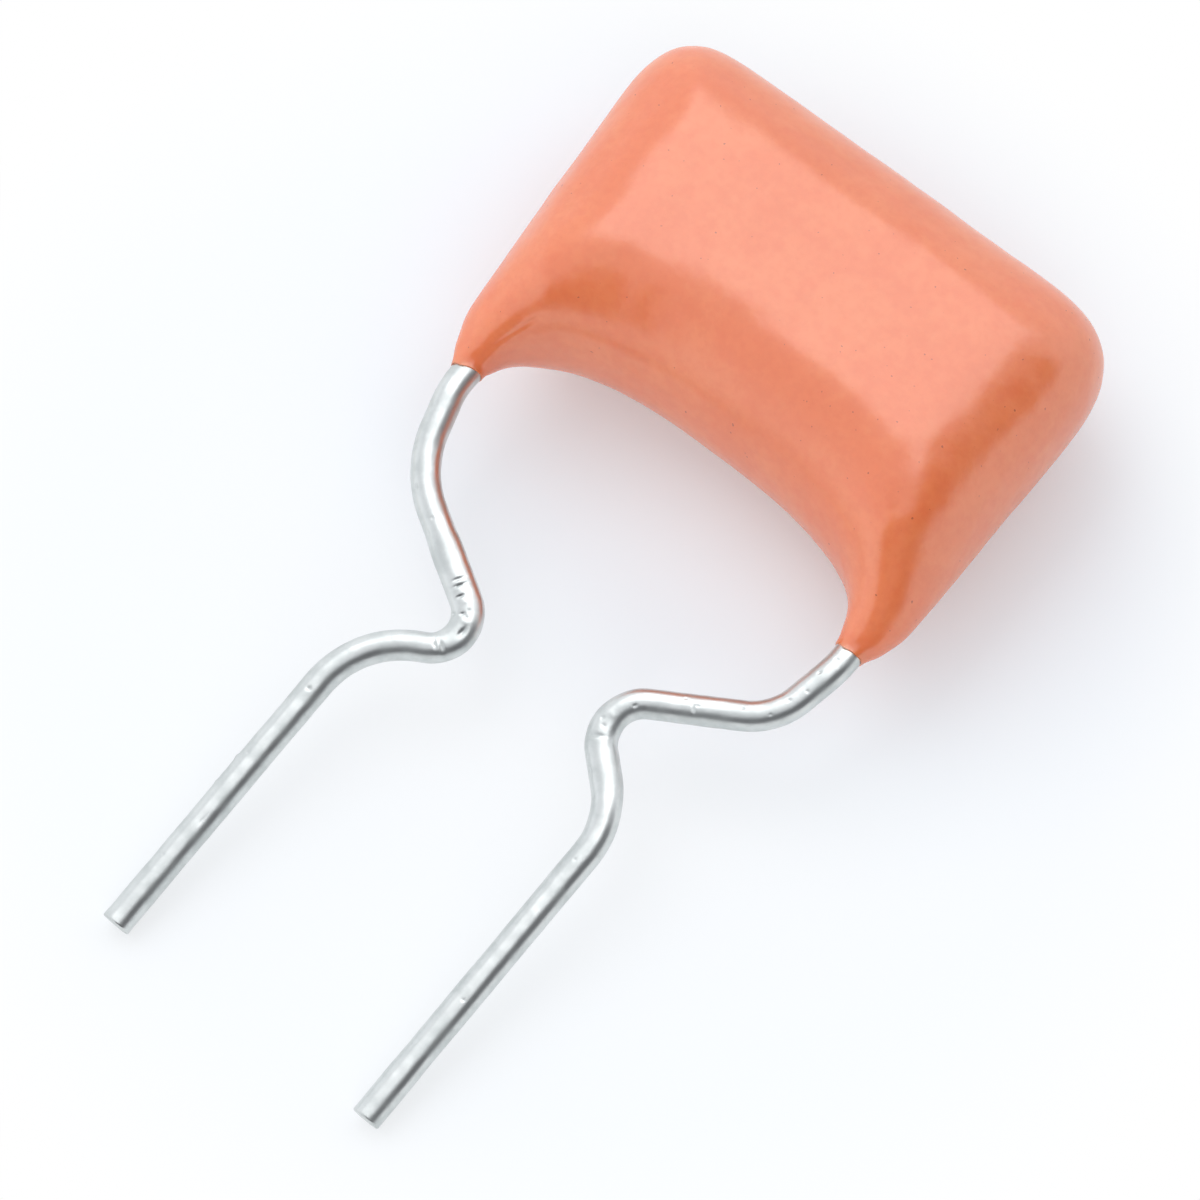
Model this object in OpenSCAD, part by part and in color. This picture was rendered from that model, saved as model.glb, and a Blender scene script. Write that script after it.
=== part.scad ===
// Film capacitor: a flattened film winding with sprayed metal ends, two welded
// lead wires formed to a narrower spacing, and a dipped epoxy coat round it all.
// Millimetres. It lies on its back: +X across the body, +Y from the leads to
// the crown, +Z up. The origin is the centre of the footprint.

/* [Lead wire] */
// Diameter of the tinned lead wire
wire_d = 0.5; // [0.4:0.05:0.6]
// Spacing of the leads where they leave the coat
exit_pitch = 7.73; // [7:0.1:11]
// Spacing of the formed lead ends
formed_pitch = 5.1; // [4.4:0.1:7.5]
// How far below the coat the wires start to turn
exit_drop = 0.25; // [0.1:0.05:0.5]
// Radius of the first slight turn below the coat
exit_radius = 1.5; // [0.8:0.1:2.5]
// Sideways offset of both formed turns from the middle
formed_offset = 0.035; // [-0.2:0.005:0.2]
// Sideways drift of the straight ends from the turn to the tip
end_drift = -0.15; // [-0.4:0.01:0.4]

/* [Left lead forming] */
// Inward step of the shoulder from the exit line
left_shoulder_in = 0.39; // [0.1:0.05:0.7]
// Depth of the shoulder below the coat
left_shoulder_y = 1.63; // [1.2:0.05:2]
// Radius of the shoulder
left_shoulder_radius = 1.9; // [0.6:0.1:2.4]
// Inward reach of the kink from the formed line
left_kink_reach = 1.86; // [1.2:0.05:2.1]
// Depth of the kink below the coat
left_kink_y = 3.34; // [2.9:0.05:3.6]
// Radius of the kink
left_kink_radius = 0.56; // [0.4:0.05:0.6]
// Depth of the last turn below the coat
left_turn_y = 4.28; // [4.1:0.05:5]
// Radius of the last turn
left_turn_radius = 1.65; // [0.8:0.05:1.8]
// Depth of the cut tip below the coat
left_tip_y = 10.13; // [7:0.05:14]

/* [Right lead forming] */
// Inward step of the shoulder from the exit line
right_shoulder_in = 0.265; // [0.1:0.05:0.7]
// Depth of the shoulder below the coat
right_shoulder_y = 1.44; // [1.2:0.05:2]
// Radius of the shoulder
right_shoulder_radius = 1.15; // [0.6:0.05:1.6]
// Inward reach of the kink from the formed line
right_kink_reach = 1.5; // [1.2:0.05:2.1]
// Depth of the kink below the coat
right_kink_y = 2.85; // [2.6:0.05:3.2]
// Radius of the kink
right_kink_radius = 0.66; // [0.4:0.05:0.7]
// Depth of the last turn below the coat
right_turn_y = 4.21; // [4:0.05:5]
// Radius of the last turn
right_turn_radius = 1.5; // [0.8:0.05:1.6]
// Depth of the cut tip below the coat
right_tip_y = 10.16; // [7:0.05:14]

/* [Coat outline] */
// Height from the lead exits to the crown
body_height = 7; // [6:0.1:10]
// Thickness from the back to the face
body_thickness = 4; // [3.4:0.1:5]
// Coat beyond each wire at the ends
end_cover = 0.59; // [0.45:0.02:0.79]
// Inset of the hips from the full width
hip_inset = 0.25; // [0:0.01:0.4]
// Height of the hips above the lead exits
hip_height = 0.86; // [0.7:0.02:1.4]
// Radius of the hips
hip_radius = 1.5; // [0.5:0.1:3]
// Squareness of the two crown corners, where 2 is an ellipse
corner_fullness = 3.1; // [2.4:0.1:4]
// Rise of the crown at its middle
crown_bow = 0.02; // [0:0.01:0.3]
// Sideways lean of the crown
crown_lean = -0.41; // [-0.45:0.01:0.45]
// Rise of the arch between the legs
arch_height = 1.58; // [1.2:0.05:1.9]
// Squareness of the arch, where 2 is an ellipse
arch_fullness = 2.55; // [2:0.05:3.2]

/* [Coat section] */
// Film of coat left on the wire at each leg end
leg_film = 0.05; // [0.04:0.005:0.1]
// Length over which a leg swells to the full thickness
leg_swell = 3.45; // [2.8:0.05:3.9]
// Rounding of the two side edges
side_round = 1.8; // [1.2:0.05:1.95]
// Rounding of the crown edge
crown_round = 1.9; // [1.2:0.05:1.95]
// Rounding of the edge over the arch
arch_round = 1.8; // [1.2:0.05:1.95]

/* [Winding] */
// Coat over the flat faces of the winding
face_cover = 0.65; // [0.5:0.05:0.9]
// Coat between the winding and the crown
crown_cover = 0.5; // [0.4:0.05:0.9]
// Coat between the winding and the arch
arch_cover = 0.45; // [0.35:0.05:0.9]
// Rounding of the flattened winding
winding_round = 1.3; // [1:0.05:1.4]
// Height of the collapsed core slit
slit_height = 1.5; // [0.8:0.1:2]
// Width of the collapsed core slit
slit_width = 0.1; // [0.06:0.02:0.2]
// Number of proud film edges at each end
ridge_count = 3; // [1:1:4]
// Spacing of the proud film edges
ridge_pitch = 0.36; // [0.28:0.02:0.38]
// Thickness of each proud film edge
ridge_width = 0.16; // [0.08:0.02:0.2]
// How far the proud film edges stand out
ridge_rise = 0.12; // [0.05:0.01:0.2]

/* [Sprayed ends] */
// Thickness of the sprayed metal
spray_thickness = 0.36; // [0.3:0.02:0.6]
// Inset of the spray from the edge of the winding
spray_inset = 0.06; // [0.02:0.02:0.15]
// How deep the wire is sunk into the spray
weld_sink = 0.08; // [0.04:0.01:0.14]
// Length of wire welded along the spray
weld_run = 3; // [1.5:0.1:3.4]

/* [Hidden] */

wire_sides = 32;
wire_r = wire_d / 2;
// A bend is a hair thinner than the straights and runs a little way into them.
bend_thinning = 0.001;
bend_overlap = 0.02;
exit_x = exit_pitch / 2;
mid_z = body_thickness / 2;
half_width = exit_x + wire_r + end_cover;
leg_r = wire_r + leg_film;

// The winding fills the coat and ends at the sprays; the sprays reach the wires.
winding_low = arch_height + arch_cover;
winding_high = body_height - crown_cover;
winding_height = winding_high - winding_low;
winding_thick = body_thickness - 2 * face_cover;
spray_face = exit_x - wire_r + weld_sink;
winding_end = spray_face - spray_thickness;

function unit(v) = v / norm(v);
function smooth(x) = let (c = max(0, min(1, x))) c * c * (3 - 2 * c);

// A corner at b between a and c: cut length, radius and centre of its arc.
function bend_half(a, b, c) = acos(max(-1, min(1, unit(a - b) * unit(c - b)))) / 2;
function bend_cut(a, b, c, r) =
    min(r / tan(bend_half(a, b, c)), 0.495 * norm(a - b), 0.495 * norm(c - b));
function bend_radius(a, b, c, r) = bend_cut(a, b, c, r) * tan(bend_half(a, b, c));
function bend_centre(a, b, c, r) =
    b + unit(unit(a - b) + unit(c - b)) * bend_radius(a, b, c, r) / sin(bend_half(a, b, c));
function bend_arc(a, b, c, r, n) =
    let (m = bend_centre(a, b, c, r),
         t = bend_cut(a, b, c, r),
         p = b + unit(a - b) * t - m,
         q = b + unit(c - b) * t - m,
         w = 180 - 2 * bend_half(a, b, c))
    [for (k = [0:n]) m + (sin(w * (1 - k / n)) * p + sin(w * k / n) * q) / sin(w)];

// Points spread evenly along a line of points.
function run_lengths(p) =
    [for (i = 0, s = 0; i < len(p);
          s = s + (i + 1 < len(p) ? norm(p[i + 1] - p[i]) : 0), i = i + 1) s];
function spread(p, n) =
    let (s = run_lengths(p),
         tx = [for (i = [0:len(p) - 1]) [s[i], p[i][0]]],
         ty = [for (i = [0:len(p) - 1]) [s[i], p[i][1]]],
         all = s[len(p) - 1])
    [for (k = [0:n - 1]) [lookup(all * k / (n - 1), tx), lookup(all * k / (n - 1), ty)]];

// ---- Coat: rings from the left leg, over the body and down the right leg ----
rings = 57;
section_steps = 17;

function half_width_at(y) =
    half_width - hip_inset * (body_height - y) / (body_height - hip_height);
function crown_at(x) = body_height + crown_bow * (1 - pow(x / half_width, 2));
// A point of a crown corner, from its shares of the side and crown roundings.
function corner_point(beside, above, y, tries) =
    let (x = half_width_at(y) - side_round * (1 - beside))
    tries == 0 ? [x, y] :
        corner_point(beside, above, crown_at(x) - crown_round * (1 - above), tries - 1);
corner_line = [for (t = [0:3:90])
    let (above = pow(sin(t), 2 / corner_fullness))
    corner_point(pow(cos(t), 2 / corner_fullness), above,
                 body_height - crown_round * (1 - above), 6)];
side_line = concat(
    [[exit_x + leg_r, 0]],
    bend_arc([exit_x + leg_r, 0], [half_width - hip_inset, hip_height], corner_line[0],
             hip_radius, 14),
    corner_line);
crown_end = side_line[len(side_line) - 1][0];
coat_outer_line = concat(
    [for (p = side_line) [-p[0], p[1]]],
    [for (k = [-9:9]) let (x = crown_end * k / 10) [x, crown_at(x)]],
    [for (k = [len(side_line) - 1:-1:0]) side_line[k]]);
arch_half = exit_x - leg_r;
coat_arch_line = [for (a = [0:0.75:180])
    [-arch_half * sign(cos(a)) * pow(abs(cos(a)), 2 / arch_fullness),
     arch_height * pow(abs(sin(a)), 2 / arch_fullness)]];

coat_outer = spread(coat_outer_line, rings);
coat_arch = spread(coat_arch_line, rings);
outer_run = run_lengths(coat_outer_line)[len(coat_outer_line) - 1];

function leaned(x, y) = x + crown_lean * y / body_height;
// Direction square to a line of points, at point k.
function square_to(p, k) =
    let (t = unit(p[min(k + 1, len(p) - 1)] - p[max(k - 1, 0)])) [-t[1], t[0]];
// Height of a rounded edge at a depth behind it, from 0 to 1 where the face begins.
function rounded(u) = let (c = max(0, min(1, u))) sqrt(1 - (1 - c) * (1 - c));
side_slope = cos(atan2(hip_inset, body_height - hip_height));
function ring(k) =
    let (o = coat_outer[k],
         i = coat_arch[k],
         along = outer_run * min(k, rings - 1 - k) / (rings - 1),
         g = smooth(along / leg_swell),
         half = leg_r + (mid_z - leg_r) * g,
         deep = norm(o - i),
         to_edge = deep * max(0.25, abs((o - i) * square_to(coat_outer, k)) / deep),
         to_arch = deep * max(0.25, abs((o - i) * square_to(coat_arch, k)) / deep),
         ro = side_round * g + (1 - g) * to_edge / 2,
         ri = arch_round * g + (1 - g) * to_arch / 2,
         v = [for (j = [0:section_steps - 1]) (1 - cos(180 * j / (section_steps - 1))) / 2],
         flat = [for (c = v) i + (o - i) * c],
         h = [for (j = [0:section_steps - 1])
             let (p = flat[j],
                  to_side = o[1] < 3 ? (1 - v[j]) * to_edge
                      : (half_width_at(p[1]) - abs(p[0])) * side_slope,
                  beside = max(0, min(1, 1 - to_side / ro)),
                  above = max(0, min(1, 1 - (crown_at(p[0]) - p[1]) / crown_round)),
                  edge = 1 - pow(pow(beside, corner_fullness) + pow(above, corner_fullness),
                                 2 / corner_fullness))
             half * sqrt(max(0, edge)) * rounded(v[j] * to_arch / ri)],
         m = section_steps)
    concat([for (j = [0:m - 1]) [leaned(flat[j][0], flat[j][1]), flat[j][1], mid_z + h[j]]],
           [for (j = [m - 2:-1:1]) [leaned(flat[j][0], flat[j][1]), flat[j][1], mid_z - h[j]]]);

coat_rings = [for (k = [0:rings - 1]) ring(k)];
ring_points = len(coat_rings[0]);
coat_points = [for (r = coat_rings) each r];
coat_faces = concat(
    [[for (j = [ring_points - 1:-1:0]) j]],
    [for (k = [0:rings - 2]) for (j = [0:ring_points - 1])
        let (a = k * ring_points + j,
             b = k * ring_points + (j + 1) % ring_points)
        each [[a, b, a + ring_points], [b, b + ring_points, a + ring_points]]],
    [[for (j = [0:ring_points - 1]) (rings - 1) * ring_points + j]]);

module coat_form() {
    polyhedron(points = coat_points, faces = coat_faces, convexity = 6);
}

// ---- Lead wires: straights and round bends along a few named points ----
function tip_z(tip_y) = wire_r * cos(atan((mid_z - wire_r) / (tip_y - exit_drop)));
function wire_z(y, tip_y) =
    mid_z - (mid_z - tip_z(tip_y)) * max(0, y - exit_drop) / (tip_y - exit_drop);
function wire_path(side, shoulder_in, shoulder_y, kink_reach, kink_y, turn_y, tip_y) =
    let (line = side * formed_pitch / 2 + formed_offset)
    [[side * exit_x, winding_low + weld_run, mid_z],
     [side * exit_x, -exit_drop, mid_z],
     [side * (exit_x - shoulder_in), -shoulder_y, wire_z(shoulder_y, tip_y)],
     [line - side * kink_reach, -kink_y, wire_z(kink_y, tip_y)],
     [line, -turn_y, wire_z(turn_y, tip_y)],
     [line + end_drift, -tip_y, wire_z(tip_y, tip_y)]];

left_path = wire_path(-1, left_shoulder_in, left_shoulder_y, left_kink_reach,
                      left_kink_y, left_turn_y, left_tip_y);
left_radii = [0, exit_radius, left_shoulder_radius, left_kink_radius, left_turn_radius, 0];
right_path = wire_path(1, right_shoulder_in, right_shoulder_y, right_kink_reach,
                       right_kink_y, right_turn_y, right_tip_y);
right_radii = [0, exit_radius, right_shoulder_radius, right_kink_radius, right_turn_radius, 0];

// Puts its child's X, Y and Z on x, y and their cross product, at p.
module placed(p, x, y) {
    z = cross(x, y);
    multmatrix([[x[0], y[0], z[0], p[0]],
                [x[1], y[1], z[1], p[1]],
                [x[2], y[2], z[2], p[2]],
                [0, 0, 0, 1]])
        children();
}

function side_of(d) = unit(cross(abs(d[2]) < 0.9 ? [0, 0, 1] : [1, 0, 0], d));

module wire_straight(a, b) {
    d = unit(b - a);
    x = side_of(d);
    placed(a, x, cross(d, x))
        cylinder(r = wire_r, h = norm(b - a), $fn = wire_sides);
}

module wire_bend(a, b, c, r) {
    m = bend_centre(a, b, c, r);
    rr = bend_radius(a, b, c, r);
    start = b + unit(a - b) * bend_cut(a, b, c, r);
    more = bend_overlap / rr * 180 / PI;
    placed(m, unit(start - m), unit(b - a))
        rotate([0, 0, -more])
            rotate_extrude(angle = 180 - 2 * bend_half(a, b, c) + 2 * more, $fn = 96)
                translate([rr, 0])
                    circle(r = wire_r - bend_thinning, $fn = wire_sides);
}

module wire(path, radii) {
    last = len(path) - 1;
    function leave(i) = i == 0 ? path[0] :
        path[i] + unit(path[i + 1] - path[i])
            * bend_cut(path[i - 1], path[i], path[i + 1], radii[i]);
    function reach(i) = i == last ? path[last] :
        path[i] + unit(path[i - 1] - path[i])
            * bend_cut(path[i - 1], path[i], path[i + 1], radii[i]);
    union() {
        for (i = [0:last - 1])
            wire_straight(leave(i), reach(i + 1));
        for (i = [1:last - 1])
            wire_bend(path[i - 1], path[i], path[i + 1], radii[i]);
    }
}

// ---- Winding and sprays ----
module rounded_section(inset) {
    h = winding_height - 2 * inset;
    t = winding_thick - 2 * inset;
    r = max(0.05, min(winding_round, winding_thick / 2 - 0.03, winding_height / 2 - 0.03) - inset);
    union() {
        square([h - 2 * r, t], center = true);
        square([h, t - 2 * r], center = true);
        for (sy = [-1, 1])
            for (sz = [-1, 1])
                translate([sy * (h / 2 - r), sz * (t / 2 - r)])
                    circle(r = r, $fn = 64);
    }
}

// Stands a section drawn across the winding on end, from x = from to x = to.
module across(from, to) {
    translate([from, (winding_low + winding_high) / 2, mid_z])
        rotate([90, 0, 90])
            linear_extrude(height = to - from)
                children();
}

module winding_body() {
    across(-winding_end, winding_end)
        rounded_section(0);
}

module film_edges(side) {
    across(side < 0 ? -winding_end - ridge_rise : winding_end,
           side < 0 ? -winding_end : winding_end + ridge_rise)
        for (i = [0:ridge_count - 1])
            difference() {
                rounded_section(spray_inset + ridge_pitch * (i + 0.5) - ridge_width / 2);
                rounded_section(spray_inset + ridge_pitch * (i + 0.5) + ridge_width / 2);
            }
}

module spray_body(side) {
    across(side < 0 ? -spray_face : winding_end,
           side < 0 ? -winding_end : spray_face)
        rounded_section(spray_inset);
}

// Moves everything so that the footprint is centred on the origin.
coat_x = [for (p = coat_points) p[0]];
coat_y = [for (p = coat_points) p[1]];
function end_low(path) =
    let (d = unit(path[5] - path[4])) path[5][1] - wire_r * sqrt(1 - d[1] * d[1]);
foot_y = [min(end_low(left_path), end_low(right_path)), max(coat_y)];
module in_frame() {
    translate([-(min(coat_x) + max(coat_x)) / 2, -(foot_y[0] + foot_y[1]) / 2, 0])
        children();
}

module epoxy_coating() {
    color("darkorange")
        in_frame()
            difference() {
                coat_form();
                union() {
                    winding_body();
                    spray_body(-1);
                    spray_body(1);
                }
                wire(left_path, left_radii);
                wire(right_path, right_radii);
            }
}

module film_winding() {
    color("whitesmoke")
        in_frame()
            union() {
                difference() {
                    winding_body();
                    across(-winding_end - 1, winding_end + 1)
                        square([slit_height, slit_width], center = true);
                }
                film_edges(-1);
                film_edges(1);
            }
}

module end_spray(side, path, radii) {
    color("dimgray")
        in_frame()
            difference() {
                spray_body(side);
                film_edges(side);
                wire(path, radii);
            }
}

module end_spray_left() {
    end_spray(-1, left_path, left_radii);
}

module end_spray_right() {
    end_spray(1, right_path, right_radii);
}

module lead_left() {
    color("silver")
        in_frame()
            wire(left_path, left_radii);
}

module lead_right() {
    color("silver")
        in_frame()
            wire(right_path, right_radii);
}

epoxy_coating();
film_winding();
end_spray_left();
end_spray_right();
lead_left();
lead_right();
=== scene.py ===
import math
import bpy
import numpy as np
from mathutils import Matrix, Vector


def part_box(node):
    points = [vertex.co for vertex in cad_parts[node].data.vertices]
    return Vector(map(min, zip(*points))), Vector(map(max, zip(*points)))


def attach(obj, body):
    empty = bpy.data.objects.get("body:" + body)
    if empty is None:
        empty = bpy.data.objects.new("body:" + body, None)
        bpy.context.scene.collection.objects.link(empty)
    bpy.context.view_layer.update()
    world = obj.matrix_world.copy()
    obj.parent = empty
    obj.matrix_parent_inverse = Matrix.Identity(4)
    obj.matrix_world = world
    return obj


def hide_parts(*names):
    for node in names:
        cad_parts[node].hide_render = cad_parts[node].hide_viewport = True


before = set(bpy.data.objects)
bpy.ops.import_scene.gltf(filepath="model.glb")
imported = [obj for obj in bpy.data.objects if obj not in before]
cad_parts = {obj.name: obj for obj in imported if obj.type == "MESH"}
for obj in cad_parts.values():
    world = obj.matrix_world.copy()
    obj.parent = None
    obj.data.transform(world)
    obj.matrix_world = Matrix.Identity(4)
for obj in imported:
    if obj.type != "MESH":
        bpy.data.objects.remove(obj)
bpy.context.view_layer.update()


# ---- The dipped coat ----
# The finished winding was dipped in liquid orange epoxy and baked. The coat is one skin:
# broad and nearly flat on the face and the back, full at the crown, flatter at the two
# ends, and drawn down onto each wire in a tapering leg with an arch between the legs.
MM = 0.001
# The coat's sizes, in millimetres.
EXIT_PITCH = 7.73
WIRE_RADIUS = 0.25
END_COVER = 0.59
BODY_HEIGHT = 7.0
BODY_THICKNESS = 4.0
HIP_INSET = 0.25
HIP_HEIGHT = 0.86
HIP_RADIUS = 1.5
CORNER_FULLNESS = 3.1
CROWN_BOW = 0.02
CROWN_LEAN = -0.41
ARCH_HEIGHT = 1.58
ARCH_FULLNESS = 2.55
LEG_FILM = 0.05
LEG_SWELL = 3.45
SIDE_ROUND = 1.8
CROWN_ROUND = 1.9
ARCH_ROUND = 1.8
# How finely the coat's lines and rings are drawn.
COAT_RINGS = 521
COAT_STEPS = 84
BEND_STEPS = 40
CORNER_POINTS = 60
CORNER_ROUNDS = 6
CROWN_POINTS = 40
ARCH_POINTS = 1200
LEAST_SLANT = 0.25
LONGEST_CUT = 0.495
SHARP_EDGE = math.radians(50)
NO_LENGTH = 1e-12
# A ring that ends above this height is rounded by its distance from the sloping side.
SIDE_START = 3.0
# The face falls away a little from its middle.
FACE_FALL = 0.025
FACE_MIDDLE = 4.3
FACE_HALF_WIDTH = 4.3
FACE_HALF_HEIGHT = 2.7
# Unevenness of the dip: length, number and seed of its broad waves and its small dimples.
WAVE_DEPTH = 0.012
WAVES = (2.3, 40, 7)
WAVE_SQUASH = [1, 1, 0.6]
DIMPLE_DEPTH = 0.003
DIMPLES = (0.62, 60, 11)
LENGTH_SPREAD = (0.7, 1.5)
# The legs are pinched onto the wires, and the lip of each leg ends a little ragged.
LEG_PINCH = 0.1
PINCH_HEIGHT = 0.35
LEFT_END_TILT = 0.14
RIGHT_END_LIFT = 0.05
RIGHT_END_SADDLE = 0.4
LIP_HEIGHT = 0.5
LIP_WAVES = ((0.012, 3, 1), (0.008, 7, 2))
# Hollows in the face as centre, reach and depth: shallow blotches, pinholes, and the four
# broad ones that soften the corners of the face.
HOLLOWS = [
    ((-2.05, 3.09, 3.97), 0.40, 0.024), ((0.53, 3.27, 3.99), 0.32, 0.022),
    ((-0.05, 3.15, 3.98), 0.28, 0.014), ((-2.75, 2.95, 3.95), 0.40, 0.012),
    ((1.22, 3.67, 3.99), 0.05, 0.006), ((3.38, 1.92, 3.57), 0.04, 0.008),
    ((3.10, 1.98, 3.61), 0.04, 0.006),
    ((-3.40, 5.40, 3.80), 0.95, 0.060), ((3.35, 5.40, 3.80), 0.90, 0.045),
    ((-3.30, 3.20, 3.85), 0.70, 0.030), ((3.00, 2.60, 3.85), 0.60, 0.020)]
# Fine creases where the epoxy ran, each as a line, its reach and its depth.
LEG_CREASE = [(-3.72, 0.0, 2.26), (-3.69, 0.48, 2.41), (-3.45, 0.93, 2.66), (-3.22, 1.23, 2.94),
              (-2.92, 1.44, 3.05)]
ARCH_FOLD = [(-2.92, 1.28, 2.70), (-2.55, 1.37, 2.60), (-1.98, 1.55, 2.70), (-1.42, 1.61, 2.62),
             (-0.79, 1.60, 2.37)]
CREASES = ((LEG_CREASE, 0.04, 0.013), (ARCH_FOLD, 0.045, 0.014))
CREASE_DEPTH, CREASE_DIMPLING = 0.75, 0.35
CREASE_START, CREASE_END = 8, 2.5

exit_x = EXIT_PITCH / 2
mid_z = BODY_THICKNESS / 2
half_width = exit_x + WIRE_RADIUS + END_COVER
leg_radius = WIRE_RADIUS + LEG_FILM


def unit(vector):
    return vector / np.linalg.norm(vector)


def ease(share):
    """A smooth step from 0 to 1, flat beyond both."""
    share = np.clip(share, 0.0, 1.0)
    return share * share * (3 - 2 * share)


def bend_points(corners, radii):
    """The corners as one line, with a round bend of its own radius at each inner corner."""
    corners = [np.array(corner, float) for corner in corners]
    line = [corners[0]]
    for before, here, after, radius in zip(corners, corners[1:], corners[2:], radii):
        back_way, on_way = unit(before - here), unit(after - here)
        half = math.acos(float(np.clip(back_way @ on_way, -1, 1))) / 2
        cut = min(radius / math.tan(half), LONGEST_CUT * np.linalg.norm(before - here),
                  LONGEST_CUT * np.linalg.norm(after - here))
        centre = here + unit(back_way + on_way) * cut * math.tan(half) / math.sin(half)
        start, end = here + back_way * cut - centre, here + on_way * cut - centre
        turn = math.pi - 2 * half
        line += [centre + (math.sin(turn * (1 - step / BEND_STEPS)) * start
                           + math.sin(turn * step / BEND_STEPS) * end) / math.sin(turn)
                 for step in range(BEND_STEPS + 1)]
    return np.array(line + [corners[-1]])


def spread(line, count):
    """Points at even distances along a line, and their distances."""
    run = np.r_[0, np.cumsum(np.linalg.norm(np.diff(line, axis=0), axis=1))]
    even = np.linspace(0, run[-1], count)
    return np.stack([np.interp(even, run, line[:, axis]) for axis in range(line.shape[1])], 1), even


def ripple(points, length, waves, seed):
    """Smooth unevenness of about -1 to 1: faint waves in all directions, about a length long."""
    dice = np.random.default_rng(seed)
    value = np.zeros(len(points))
    for _ in range(waves):
        way = unit(dice.normal(size=3)) * 2 * math.pi / (length * dice.uniform(*LENGTH_SPREAD))
        value += np.cos(points @ way + dice.uniform(0, 2 * math.pi))
    return value / math.sqrt(waves)


def gap(points, line):
    """How far each point is from a line of corners, and how far along it its nearest point is."""
    line = np.array(line, float)
    nearest, along = np.full(len(points), np.inf), np.zeros(len(points))
    for index, (start, end) in enumerate(zip(line, line[1:])):
        part = np.clip((points - start) @ (end - start) / ((end - start) @ (end - start)), 0, 1)
        away = np.linalg.norm(points - start - part[:, None] * (end - start), axis=1)
        along = np.where(away < nearest, (index + part) / (len(line) - 1), along)
        nearest = np.minimum(nearest, away)
    return nearest, along


def skin(name, points, faces, finish):
    """A smooth mesh piece from points in millimetres, riding on the object and with one finish."""
    mesh = bpy.data.meshes.new(name)
    mesh.from_pydata((points * MM).tolist(), [], faces)
    mesh.validate()
    mesh.shade_smooth()
    mesh.set_sharp_from_angle(angle=SHARP_EDGE)
    mesh.materials.append(finish)
    piece = bpy.data.objects.new(name, mesh)
    bpy.context.scene.collection.objects.link(piece)
    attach(piece, "root")
    return piece


def tube_faces(rings, around):
    """Faces of a tube of rings, with a flat face on each end."""
    faces = [(ring * around + step, ring * around + (step + 1) % around,
              (ring + 1) * around + (step + 1) % around, (ring + 1) * around + step)
             for ring in range(rings - 1) for step in range(around)]
    first, last = range(around), range((rings - 1) * around, rings * around)
    return faces + [tuple(reversed(first)), tuple(last)]


def half_width_at(y):
    """Half the width of the coat at a height, which narrows toward the hips."""
    return half_width - HIP_INSET * (BODY_HEIGHT - y) / (BODY_HEIGHT - HIP_HEIGHT)


def crown_at(x):
    """The height of the crown at a distance from the middle."""
    return BODY_HEIGHT + CROWN_BOW * (1 - (x / half_width) ** 2)


# The outline runs up the left side, over the crown and down the right side. The crown's
# corners settle in a few rounds, because the side and the crown both slope.
corner = np.linspace(0, math.pi / 2, CORNER_POINTS)
beside = np.cos(corner) ** (2 / CORNER_FULLNESS)
above = np.sin(corner) ** (2 / CORNER_FULLNESS)
corner_y = BODY_HEIGHT - CROWN_ROUND * (1 - above)
for _ in range(CORNER_ROUNDS):
    corner_x = half_width_at(corner_y) - SIDE_ROUND * (1 - beside)
    corner_y = crown_at(corner_x) - CROWN_ROUND * (1 - above)
leg_line = bend_points([(exit_x + leg_radius, 0), (half_width - HIP_INSET, HIP_HEIGHT),
                        (corner_x[0], corner_y[0])], [HIP_RADIUS])
side_line = np.r_[leg_line[:-1], np.stack([corner_x, corner_y], 1)]
crown_x = np.linspace(-corner_x[-1], corner_x[-1], CROWN_POINTS)[1:-1]
crown_line = np.stack([crown_x, crown_at(crown_x)], 1)
outline = np.r_[side_line * [-1, 1], crown_line, side_line[::-1]]
sweep = np.linspace(0, math.pi, ARCH_POINTS)
arch_x = (exit_x - leg_radius) * np.sign(np.cos(sweep)) * np.abs(np.cos(sweep)) ** (2 / ARCH_FULLNESS)
arch_y = ARCH_HEIGHT * np.abs(np.sin(sweep)) ** (2 / ARCH_FULLNESS)
outer, outer_run = spread(outline, COAT_RINGS)
inner, _ = spread(np.stack([-arch_x, arch_y], 1), COAT_RINGS)


def square_to(line):
    """Directions square to a line of points."""
    along = np.gradient(line, axis=0)
    along /= np.linalg.norm(along, axis=1)[:, None]
    return np.stack([-along[:, 1], along[:, 0]], 1)


def rounded(depth):
    """Height of a rounded edge at a depth behind it: 0 at the edge, 1 where the face begins."""
    return np.sqrt(1 - (1 - np.clip(depth, 0, 1)) ** 2)


across = (1 - np.cos(np.linspace(0, math.pi, COAT_STEPS))) / 2
side_slope = math.cos(math.atan2(HIP_INSET, BODY_HEIGHT - HIP_HEIGHT))


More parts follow.
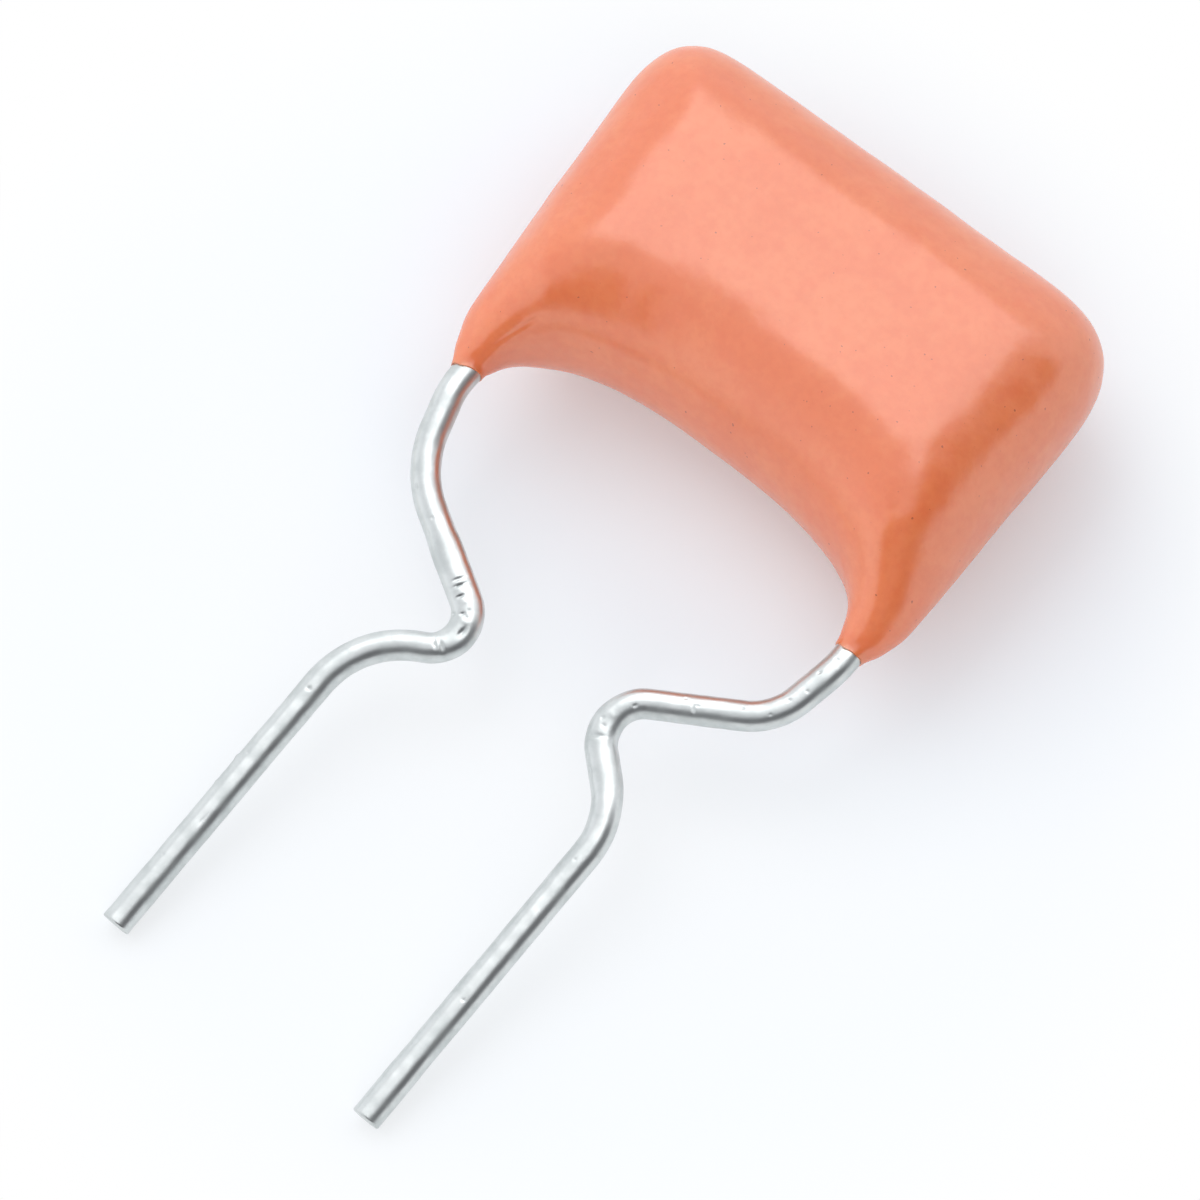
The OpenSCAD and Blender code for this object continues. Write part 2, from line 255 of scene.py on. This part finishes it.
def coat_ring(rim, root, swell, rim_way, root_way):
    """The coat cut from its root on the arch to its rim on the outline, as one closed ring."""
    half = leg_radius + (mid_z - leg_radius) * swell
    deep = np.linalg.norm(rim - root)
    to_rim = deep * max(LEAST_SLANT, abs((rim - root) @ rim_way) / deep)
    to_root = deep * max(LEAST_SLANT, abs((rim - root) @ root_way) / deep)
    cut = root + (rim - root) * across[:, None]
    if rim[1] < SIDE_START:
        to_side = (1 - across) * to_rim
    else:
        to_side = (half_width_at(cut[:, 1]) - np.abs(cut[:, 0])) * side_slope
    side_round = SIDE_ROUND * swell + (1 - swell) * to_rim / 2
    arch_round = ARCH_ROUND * swell + (1 - swell) * to_root / 2
    near_side = np.clip(1 - to_side / side_round, 0, 1)
    near_crown = np.clip(1 - (crown_at(cut[:, 0]) - cut[:, 1]) / CROWN_ROUND, 0, 1)
    near_both = near_side ** CORNER_FULLNESS + near_crown ** CORNER_FULLNESS
    edge = np.clip(1 - near_both ** (2 / CORNER_FULLNESS), 0, 1)
    rise = half * np.sqrt(edge) * rounded(across * to_root / arch_round)
    off_middle = (cut[:, 0] / FACE_HALF_WIDTH) ** 2 + ((cut[:, 1] - FACE_MIDDLE) / FACE_HALF_HEIGHT) ** 2
    rise = rise * (1 - swell * FACE_FALL * off_middle)
    face = np.c_[cut, mid_z + rise]
    back_face = np.c_[cut, mid_z - rise][::-1][1:-1]
    return np.r_[face, back_face][::-1]


coat_swell = [ease(min(run, outer_run[-1] - run) / LEG_SWELL) for run in outer_run]
coat_rings = np.array([coat_ring(*ring) for ring in
                       zip(outer, inner, coat_swell, square_to(outer), square_to(inner))])
coat_around = coat_rings.shape[1]
way_off = np.cross(np.roll(coat_rings, -1, 1) - np.roll(coat_rings, 1, 1), np.gradient(coat_rings, axis=0))
way_off /= np.maximum(np.linalg.norm(way_off, axis=2), NO_LENGTH)[..., None]
coat = coat_rings.reshape(-1, 3)

# How far the skin sinks below the even form, in its waves and dimples, hollows and creases.
waves = 1 + ripple(coat * WAVE_SQUASH, *WAVES)
dimples = ripple(coat, *DIMPLES)
sunk = np.repeat(coat_swell, coat_around) * (WAVE_DEPTH * waves + DIMPLE_DEPTH * dimples)
for centre, reach, depth in HOLLOWS:
    sunk = sunk + depth * np.exp(-(np.linalg.norm(coat - centre, axis=1) / reach) ** 2)
for line, reach, depth in CREASES:
    away, along = gap(coat, line)
    fade = ease(along * CREASE_START) * ease((1 - along) * CREASE_END)
    sunk = sunk + depth * (CREASE_DEPTH + CREASE_DIMPLING * dimples) * np.exp(-(away / reach) ** 2) * fade

# The even form, with its crown leaning to one side, sets where the coat stands in its
# node's box. Then the legs are pinched, their ends are lifted and the crown leans.
leaning = coat[:, 0] + CROWN_LEAN * coat[:, 1] / BODY_HEIGHT
node_low, node_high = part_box("epoxy_coating")
SHIFT = np.array([(node_low.x + node_high.x) / 2 / MM - (leaning.min() + leaning.max()) / 2,
                  node_low.y / MM, 0.0])
coat = coat - way_off.reshape(-1, 3) * sunk[:, None]
side = np.sign(coat[:, 0])
wire = np.stack([side * exit_x, coat[:, 1], np.full(len(coat), mid_z)], 1)
inward = np.arctan2(coat[:, 2] - mid_z, (coat[:, 0] - side * exit_x) * -side)
coat = wire + (coat - wire) * (1 - LEG_PINCH * (1 - ease(coat[:, 1] / PINCH_HEIGHT)))[:, None]
lift = np.where(side < 0, LEFT_END_TILT * (1 + np.cos(inward)) / 2,
                RIGHT_END_LIFT * (1 + RIGHT_END_SADDLE * np.cos(2 * inward)))
for height, lip_count, lip_turn in LIP_WAVES:
    lift = lift + height * (1 + np.sin(lip_count * inward + lip_turn * side))
coat[:, 1] += lift * (1 - ease(coat[:, 1] / LIP_HEIGHT))
coat[:, 0] += CROWN_LEAN * coat[:, 1] / BODY_HEIGHT
coat += SHIFT
coat = np.clip(coat, np.array(node_low) / MM, np.array(node_high) / MM)


class Shade:
    """A material's node tree and one of its sockets. Arithmetic on it adds the Math nodes."""

    def __init__(self, tree, socket=None):
        self.tree, self.socket = tree, socket

    def node(self, kind, settings=None, sockets=None, out=0):
        """A new node, with its settings and then the values or links of its sockets."""
        made = self.tree.nodes.new(kind)
        for key, value in (settings or {}).items():
            setattr(made, key, value)
        for key, value in (sockets or {}).items():
            if isinstance(value, Shade):
                self.tree.links.new(value.socket, made.inputs[key])
            else:
                made.inputs[key].default_value = value
        return Shade(self.tree, made.outputs[out]) if len(made.outputs) else None

    def out(self, name):
        """Another output of the node that this one comes from."""
        return Shade(self.tree, self.socket.node.outputs[name])

    def calculate(self, operation, *values):
        """A Math node on numbers or sockets."""
        return self.node("ShaderNodeMath", {"operation": operation}, dict(enumerate(values)))

    def __add__(self, other):
        return self.calculate("ADD", self, other)

    __radd__ = __add__

    def __mul__(self, other):
        return self.calculate("MULTIPLY", self, other)

    __rmul__ = __mul__

    def __sub__(self, other):
        return self.calculate("SUBTRACT", self, other)

    def __rsub__(self, other):
        return self.calculate("SUBTRACT", other, self)

    def between(self, low, high):
        """0 below low, 1 above high and a smooth step from one to the other."""
        return self.node("ShaderNodeMapRange", {"interpolation_type": "SMOOTHSTEP"},
                         {"Value": self, "From Min": low, "From Max": high})

    def blend(self, first, second):
        """One colour where this is 0 and the other where it is 1."""
        return self.node("ShaderNodeMix", {"data_type": "RGBA"}, {0: self, 6: first, 7: second}, out=2)

    def vector(self, operation, *values, out="Vector"):
        """A Vector Math node on vectors or sockets."""
        return self.node("ShaderNodeVectorMath", {"operation": operation}, dict(enumerate(values)), out)

    def noise(self, place, scale, detail, rough):
        """A cloudy value of about 0 to 1, finer the larger its scale."""
        return self.node("ShaderNodeTexNoise", {},
                         {"Vector": place, "Scale": scale, "Detail": detail, "Roughness": rough})


def finish_tree(name):
    """A new material, and its empty tree to add to."""
    material = bpy.data.materials.new(name)
    material.use_nodes = True
    material.node_tree.nodes.clear()
    return material, Shade(material.node_tree)


def surface(tree, sockets):
    """Ends a material in one Principled surface."""
    shader = tree.node("ShaderNodeBsdfPrincipled", {}, sockets)
    tree.node("ShaderNodeOutputMaterial", {}, {"Surface": shader})


def rgb(red, green, blue):
    """A colour as it looks on screen, from 0 to 255, as the light it stands for."""
    return tuple(c / 255 / 12.92 if c <= 10 else ((c / 255 + 0.055) / 1.055) ** 2.4
                 for c in (red, green, blue)) + (1.0,)


# Orange in faint clouds, with tiny dark specks, under a fine orange-peel gloss. Round the foot of each leg
# a thin line of painted shade stands for the shadow between the coat's lip and the wire. The line's heights
# and the peel's depth are in metres.
EPOXY_ORANGE = rgb(232, 119, 67)
EPOXY_LIGHT = rgb(238, 135, 82)
EPOXY_DEEP = rgb(218, 101, 52)
# The dark colour of the specks, which is also the colour of the painted shade line at each leg's foot.
EPOXY_SPECK_AND_SHADE = rgb(140, 62, 36)
SPECK_STRENGTH, LEG_END_SHADE_STRENGTH = 0.7, 0.6
LEG_END_SHADE_LINE = (0.00002, 0.00006)
PEEL_DEPTH = 0.00002
epoxy, tree = finish_tree("dipped orange epoxy")
place = tree.node("ShaderNodeTexCoord", out="Object")
cloud = tree.noise(place, scale=900, detail=3, rough=0.6).between(0.38, 0.62)
mottle = tree.noise(place, scale=5200, detail=3, rough=0.65).between(0.35, 0.68)
colour = (cloud * 0.5).blend(EPOXY_ORANGE, EPOXY_LIGHT)
colour = (mottle * 0.25).blend(colour, EPOXY_DEEP)
speck = tree.noise(place, scale=13000, detail=1, rough=0.4).between(0.775, 0.81)
place_y = tree.node("ShaderNodeSeparateXYZ", {}, {0: place}, out="Y")
# Painted shade: a thin dark line round the foot of each leg, where the coat's lip meets the wire.
leg_end_shade = 1 - (place_y - float(SHIFT[1]) * MM).between(*LEG_END_SHADE_LINE)
# The specks and the painted shade line both darken the orange toward the same dark colour.
specks_and_shade = tree.calculate("MAXIMUM", speck * SPECK_STRENGTH, leg_end_shade * LEG_END_SHADE_STRENGTH)
peel = tree.noise(place, scale=3600, detail=2, rough=0.5)
fine = tree.noise(place, scale=11000, detail=2, rough=0.6)
bump = tree.node("ShaderNodeBump", {},
                 {"Strength": 0.35, "Distance": PEEL_DEPTH, "Height": peel * 0.7 + fine * 0.3})
surface(tree, {"Base Color": specks_and_shade.blend(colour, EPOXY_SPECK_AND_SHADE), "Roughness": 0.24 + 0.02 * mottle,
               "IOR": 2.0, "Normal": bump, "Subsurface Weight": 0.25,
               "Subsurface Radius": (1.0, 0.35, 0.15), "Subsurface Scale": 0.0008})

coat_skin = skin("coat", coat, tube_faces(COAT_RINGS, coat_around), epoxy)
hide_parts("epoxy_coating")


# ---- The two lead wires ----
# Round copper-clad steel wire with a dull tin skin. Each is welded to its sprayed end
# inside the coat, then kinked inward and back out with pliers, so that the straight ends
# stand closer together, and cut off square.
FORMED_PITCH = 5.1
EXIT_DROP = 0.25
EXIT_RADIUS = 1.5
FORMED_OFFSET = 0.035
END_DRIFT = -0.15
WELD_TOP = 5.03
LEAD_AROUND = 96
LEAD_RINGS = 900
# Where each wire is bent, as the inward reach, the distance below the coat and the radius of
# the shoulder and of the kink, the distance and radius of the last turn, and where it is cut.
LEFT_FORMING = {"shoulder": (0.39, 1.63, 1.9), "kink": (1.86, 3.34, 0.56), "turn": (4.28, 1.65),
                "tip": 10.13}
RIGHT_FORMING = {"shoulder": (0.265, 1.44, 1.15), "kink": (1.5, 2.85, 0.66), "turn": (4.21, 1.5),
                 "tip": 10.16}
# Marks of the pliers and of handling: distance along the wire, turn round it in degrees, half
# length, half width and depth, where a depth below 0 is a burr.
LEFT_MARKS = [
    (8.66, 94, 0.024, 0.10, 0.032), (8.76, 97, 0.024, 0.12, 0.032), (8.94, 108, 0.024, 0.08, 0.034),
    (8.90, 80, 0.030, 0.04, 0.012), (9.06, 92, 0.030, 0.05, -0.008), (9.20, 84, 0.035, 0.035, 0.016),
    (9.26, 106, 0.030, 0.05, 0.030), (9.31, 92, 0.025, 0.03, 0.016), (9.26, 150, 0.050, 0.05, 0.030),
    (9.38, 88, 0.040, 0.06, -0.010), (9.54, 78, 0.080, 0.045, 0.045), (9.90, 70, 0.030, 0.10, 0.030),
    (9.99, 84, 0.022, 0.08, 0.026), (5.71, 138, 0.030, 0.025, 0.012), (7.00, 132, 0.060, 0.025, 0.020),
    (7.60, 82, 0.020, 0.020, 0.010), (7.57, 108, 0.022, 0.022, 0.012), (7.75, 145, 0.040, 0.025, 0.014),
    (8.20, 168, 0.030, 0.030, 0.010), (10.70, 96, 0.020, 0.020, 0.010), (12.23, 90, 0.030, 0.030, 0.022),
    (12.60, 128, 0.060, 0.020, 0.010), (13.62, 112, 0.022, 0.022, 0.012), (13.77, 146, 0.070, 0.05, -0.026),
    (14.27, 147, 0.060, 0.05, -0.016), (14.90, 78, 0.090, 0.016, 0.008), (15.70, 112, 0.022, 0.020, 0.010)]
RIGHT_MARKS = [
    (9.47, 118, 0.028, 0.13, 0.034), (9.30, 92, 0.030, 0.030, 0.014), (9.20, 108, 0.028, 0.028, 0.012),
    (9.08, 84, 0.050, 0.060, -0.006), (8.66, 66, 0.040, 0.030, 0.014), (7.72, 72, 0.022, 0.060, 0.018),
    (7.66, 84, 0.050, 0.018, 0.012), (7.86, 108, 0.024, 0.020, 0.012), (6.95, 97, 0.030, 0.022, 0.018),
    (6.52, 66, 0.020, 0.020, 0.010), (6.17, 92, 0.034, 0.022, 0.016), (5.86, 78, 0.020, 0.022, 0.012),
    (5.52, 104, 0.034, 0.022, 0.020), (5.20, 95, 0.022, 0.040, 0.014), (9.75, 150, 0.060, 0.022, 0.014),
    (9.98, 148, 0.080, 0.020, 0.014), (11.60, 96, 0.022, 0.020, 0.010), (12.90, 118, 0.060, 0.018, 0.010),
    (14.40, 80, 0.022, 0.024, 0.010), (15.40, 118, 0.080, 0.016, 0.008)]
# The stretch that the pliers pressed flatter: from, to and by what share of the radius.
LEFT_FLAT = (7.7, 10.1, 0.09)
RIGHT_FLAT = (8.8, 10.6, 0.07)
FLAT_FADE = 0.5
# Unevenness of the drawn wire: depth, then length, number and seed of its waves.
SLOW_WOBBLE = (0.003, 1.1, 30, 5)
QUICK_WOBBLE = (0.0012, 0.3, 30, 9)
# The wire's skin lies this far inside its solid, less toward the tip, and the cut's edge is
# drawn in by a share of the radius.
WIRE_INSET = 0.004
TIP_FADE = 0.3
TIP_EDGE = 0.07

TIN_LIGHT = rgb(217, 221, 220)
TIN_DULL = rgb(202, 207, 206)
TIN_GRAIN_DEPTH = 0.000008
tin, tree = finish_tree("tinned wire")
place = tree.node("ShaderNodeTexCoord", out="Object")
smear = tree.noise(place, scale=2600, detail=3, rough=0.6).between(0.35, 0.7)
grain = tree.noise(place, scale=7000, detail=3, rough=0.6)
bump = tree.node("ShaderNodeBump", {},
                 {"Strength": 0.2, "Distance": TIN_GRAIN_DEPTH, "Height": grain + smear * 0.4})
surface(tree, {"Base Color": smear.blend(TIN_LIGHT, TIN_DULL), "Metallic": 1.0,
               "Roughness": 0.3 + 0.1 * smear, "Normal": bump})


def lead(name, side, forming, marks, flat):
    """One wire from its weld inside the coat to its cut tip, on the left (-1) or right (1)."""
    tip_y = forming["tip"]
    tip_z = WIRE_RADIUS * math.cos(math.atan((mid_z - WIRE_RADIUS) / (tip_y - EXIT_DROP)))

    def point(x, below):
        sag = max(0, below - EXIT_DROP) / (tip_y - EXIT_DROP)
        return (x, -below, mid_z - (mid_z - tip_z) * sag)

    line = side * FORMED_PITCH / 2 + FORMED_OFFSET
    shoulder_in, shoulder_y, shoulder_radius = forming["shoulder"]
    reach, kink_y, kink_radius = forming["kink"]
    turn_y, turn_radius = forming["turn"]
    path = bend_points(
        [(side * exit_x, WELD_TOP, mid_z), point(side * exit_x, EXIT_DROP),
         point(side * (exit_x - shoulder_in), shoulder_y), point(line - side * reach, kink_y),
         point(line, turn_y), point(line + END_DRIFT, tip_y)],
        [EXIT_RADIUS, shoulder_radius, kink_radius, turn_radius])
    centre, run = spread(path, LEAD_RINGS)
    centre = centre + SHIFT
    along = np.gradient(centre, axis=0)
    along /= np.linalg.norm(along, axis=1)[:, None]
    over = np.cross(along, np.cross([0, 0, 1.0], along))
    over /= np.linalg.norm(over, axis=1)[:, None]
    aside = np.cross(over, along)

    angle = np.linspace(0, 2 * math.pi, LEAD_AROUND, endpoint=False)
    dip = np.zeros((LEAD_RINGS, LEAD_AROUND))
    for mark, degrees, half_length, half_mark, depth in marks:
        turned = (angle - math.radians(degrees) + math.pi) % (2 * math.pi) - math.pi
        lengthwise = np.exp(-((run - mark) / half_length) ** 2)[:, None]
        dip += depth * lengthwise * np.exp(-(turned * WIRE_RADIUS / half_mark) ** 2)
    flat_from, flat_to, flatness = flat
    press = flatness * ease((run - flat_from) / FLAT_FADE) * ease((flat_to - run) / FLAT_FADE)
    wide = (WIRE_RADIUS - dip) * (1 + press)[:, None] * np.cos(angle)
    high = (WIRE_RADIUS - dip) * (1 - press)[:, None] * np.sin(angle)
    points = centre[:, None] + wide[..., None] * aside[:, None] + high[..., None] * over[:, None]

    flat_points = points.reshape(-1, 3)
    slow, quick = [depth * ripple(flat_points, length, waves, seed + side)
                   for depth, length, waves, seed in (SLOW_WOBBLE, QUICK_WOBBLE)]
    inset = np.maximum(0.0, WIRE_INSET + (slow + quick)).reshape(LEAD_RINGS, LEAD_AROUND)
    inset = inset * ease((run[-1] - run) / TIP_FADE)[:, None]
    points += (centre[:, None] - points) * (inset / WIRE_RADIUS)[..., None]
    points[-1] += (centre[-1] - points[-1]) * TIP_EDGE
    return skin(name, points.reshape(-1, 3), tube_faces(LEAD_RINGS, LEAD_AROUND), tin)


left_wire = lead("left_wire", -1, LEFT_FORMING, LEFT_MARKS, LEFT_FLAT)
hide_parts("lead_left")
right_wire = lead("right_wire", 1, RIGHT_FORMING, RIGHT_MARKS, RIGHT_FLAT)
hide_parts("lead_right")


# ---- The winding and its sprayed ends ----
# Two metallised plastic films rolled up together and pressed flat, with metal sprayed on
# both ends. They are shut inside the coat, so the built solids stay and only get finishes.
FILM_LIGHT = rgb(214, 217, 221)
FILM_DULL = rgb(190, 194, 200)
film, tree = finish_tree("metallised film")
place = tree.node("ShaderNodeTexCoord", out="Object")
grain = tree.noise(place, scale=4000, detail=2, rough=0.5)
surface(tree, {"Base Color": grain.blend(FILM_LIGHT, FILM_DULL), "Metallic": 0.8,
               "Roughness": 0.3 + 0.2 * grain})

SPRAY_DARK = rgb(120, 122, 126)
SPRAY_LIGHT = rgb(170, 171, 173)
SPRAY_GRAIN_DEPTH = 0.00003
spray, tree = finish_tree("sprayed zinc")
place = tree.node("ShaderNodeTexCoord", out="Object")
grain = tree.noise(place, scale=9000, detail=4, rough=0.7)
bump = tree.node("ShaderNodeBump", {}, {"Strength": 0.8, "Distance": SPRAY_GRAIN_DEPTH, "Height": grain})
surface(tree, {"Base Color": grain.blend(SPRAY_DARK, SPRAY_LIGHT), "Metallic": 0.9,
               "Roughness": 0.5 + 0.3 * grain, "Normal": bump})
for node, finish in (("film_winding", film), ("end_spray_left", spray), ("end_spray_right", spray)):
    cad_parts[node].data.materials.clear()
    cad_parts[node].data.materials.append(finish)


# ---- Table, light and camera ----
# A plain white table. One broad soft light overhead gives the gloss, a window to the left
# and a fill at the front right light the colours, and the pale room round them has a dark
# side to the right.
FLOOR_SIZE = 3.0
FLOOR_TINT = (0.87, 0.94, 0.995, 1)
# Plain white takes over from the table's shading away from the body and from the wires:
# distances in metres, its share at the body, and what each clear stretch adds to it.
BODY_MIDDLE_Y = 0.0051
BODY_SQUASH = 0.75
BODY_CLEAR = (0.0038, 0.0078)
WIRES_CLEAR = (0.008, 0.0125)
SHARE_AT_BODY, SHARE_CLEAR, SHARE_AWAY = 0.2, 0.42, 0.38
floor_mesh = bpy.data.meshes.new("table")
floor_mesh.from_pydata([(-FLOOR_SIZE, -FLOOR_SIZE, 0), (FLOOR_SIZE, -FLOOR_SIZE, 0),
                        (FLOOR_SIZE, FLOOR_SIZE, 0), (-FLOOR_SIZE, FLOOR_SIZE, 0)], [], [(0, 1, 2, 3)])
floor = bpy.data.objects.new("table", floor_mesh)
bpy.context.scene.collection.objects.link(floor)
white, tree = finish_tree("white table")
place = tree.node("ShaderNodeNewGeometry", out="Position")
away = tree.vector("LENGTH", place, out="Value").between(*WIRES_CLEAR)
from_body = tree.vector("MULTIPLY_ADD", place, (BODY_SQUASH, 1.0, 1.0), (0.0, -BODY_MIDDLE_Y, 0.0))
clear = tree.vector("LENGTH", from_body, out="Value").between(*BODY_CLEAR)
seen = tree.node("ShaderNodeLightPath", out="Is Camera Ray")
rays = tree.calculate("MAXIMUM", tree.calculate("MAXIMUM", seen, seen.out("Is Glossy Ray")),
                seen.out("Is Transmission Ray"))
matt = tree.node("ShaderNodeBsdfDiffuse", {}, {"Color": FLOOR_TINT})
glow = tree.node("ShaderNodeEmission", {}, {"Color": (1, 1, 1, 1), "Strength": 1.0})
share = rays * (SHARE_AT_BODY + SHARE_CLEAR * clear + SHARE_AWAY * away)
mixed = tree.node("ShaderNodeMixShader", {}, {0: share, 1: matt, 2: glow})
tree.node("ShaderNodeOutputMaterial", {}, {"Surface": mixed})
floor_mesh.materials.append(white)


def hang(name, data, way, distance):
    """A lamp at a distance from the object, facing it, with its sides level."""
    lamp = bpy.data.objects.new(name, data)
    lamp.location = way * distance
    lamp_x = unit(np.cross([0, 1.0, 0], way))
    lamp.rotation_euler = Matrix(np.stack([lamp_x, np.cross(way, lamp_x), way], 1).tolist()).to_euler()
    bpy.context.scene.collection.objects.link(lamp)
    return lamp


# The softbox shows only in the gloss.
SOFTBOX_LEVEL = 1.1
SOFTBOX_DISTANCE = 0.6
SOFTBOX_SIZE = (0.84, 0.62)
SOFTBOX_WAY = unit(np.array([-0.16, 0.42, 0.89]))
softbox = bpy.data.lights.new("softbox", "AREA")
softbox.shape = "RECTANGLE"
softbox.size, softbox.size_y = SOFTBOX_SIZE
softbox.energy = SOFTBOX_LEVEL * math.pi * SOFTBOX_SIZE[0] * SOFTBOX_SIZE[1]
hang("softbox", softbox, SOFTBOX_WAY, SOFTBOX_DISTANCE).visible_diffuse = False

# The window and the fill show only in the colours. Each has its level on the table.
PANEL_SIZE = 0.70
PANEL_DISTANCE = 1.0
PANELS = (("window", 0.18, (-0.55, 0.12, 0.82)), ("fill", 0.15, (0.50, -0.60, 0.62)))
for name, level, toward_panel in PANELS:
    way = unit(np.array(toward_panel))
    panel = bpy.data.lights.new(name, "AREA")
    panel.size = PANEL_SIZE
    panel.energy = level * math.pi ** 2 * PANEL_DISTANCE ** 2 / way[2]
    hang(name, panel, way, PANEL_DISTANCE).visible_glossy = False

# The room's light by height, and its dark side as a way, its edge, its foot and its top.
ROOM_LOW = (1.15, 1.17, 1.21, 1)
ROOM_HIGH = (0.90, 0.91, 0.94, 1)
ROOM_DARK = (0.14, 0.14, 0.15, 1)
ROOM_FADE = (0.0, 0.85)
DARK_WAY = tuple(unit(np.array([0.87, -0.50, 0.0])))
DARK_EDGE = (0.30, 0.58)
DARK_FOOT = (0.0, 0.24)
DARK_TOP = (0.76, 0.90)
world = bpy.data.worlds.new("room")
bpy.context.scene.world = world
world.use_nodes = True
world.node_tree.nodes.clear()
room = Shade(world.node_tree)
look = room.node("ShaderNodeTexCoord", out="Generated")
level_look = room.vector("NORMALIZE", room.vector("MULTIPLY", look, (1, 1, 0)))
toward_dark = room.vector("DOT_PRODUCT", level_look, DARK_WAY, out="Value")
height = room.node("ShaderNodeSeparateXYZ", {}, {0: look}, out="Z")
dark = toward_dark.between(*DARK_EDGE) * height.between(*DARK_FOOT) * (1 - height.between(*DARK_TOP))
walls = dark.blend(height.between(*ROOM_FADE).blend(ROOM_LOW, ROOM_HIGH), ROOM_DARK)
backdrop = room.node("ShaderNodeBackground", {}, {"Color": walls, "Strength": 1.0})
room.node("ShaderNodeOutputWorld", {}, {"Surface": backdrop})

AZIMUTH, ELEVATION, DISTANCE = math.radians(38.835), math.radians(67.031), 0.120
PIXELS_PER_MM, FRAME_PIXELS, SENSOR = 63.658, 1200, 36.0
CLIP_NEAR, CLIP_FAR = 0.01, 10
TARGET = np.array([0.254, -1.639, 2.0]) + SHIFT
scene = bpy.context.scene
scene.view_settings.view_transform = "Standard"
camera_data = bpy.data.cameras.new("camera")
camera = bpy.data.objects.new("camera", camera_data)
scene.collection.objects.link(camera)
scene.camera = camera
back = np.array([math.sin(AZIMUTH) * math.cos(ELEVATION), -math.cos(AZIMUTH) * math.cos(ELEVATION),
                 math.sin(ELEVATION)])
right = np.array([math.cos(AZIMUTH), math.sin(AZIMUTH), 0])
upward = np.cross(back, right)
camera_data.sensor_width = SENSOR
camera_data.lens = PIXELS_PER_MM * DISTANCE / MM / FRAME_PIXELS * SENSOR
camera_data.clip_start, camera_data.clip_end = CLIP_NEAR, CLIP_FAR
stand = TARGET * MM + back * DISTANCE
camera.matrix_world = Matrix([(right[axis], upward[axis], back[axis], stand[axis]) for axis in range(3)]
                             + [(0, 0, 0, 1)])
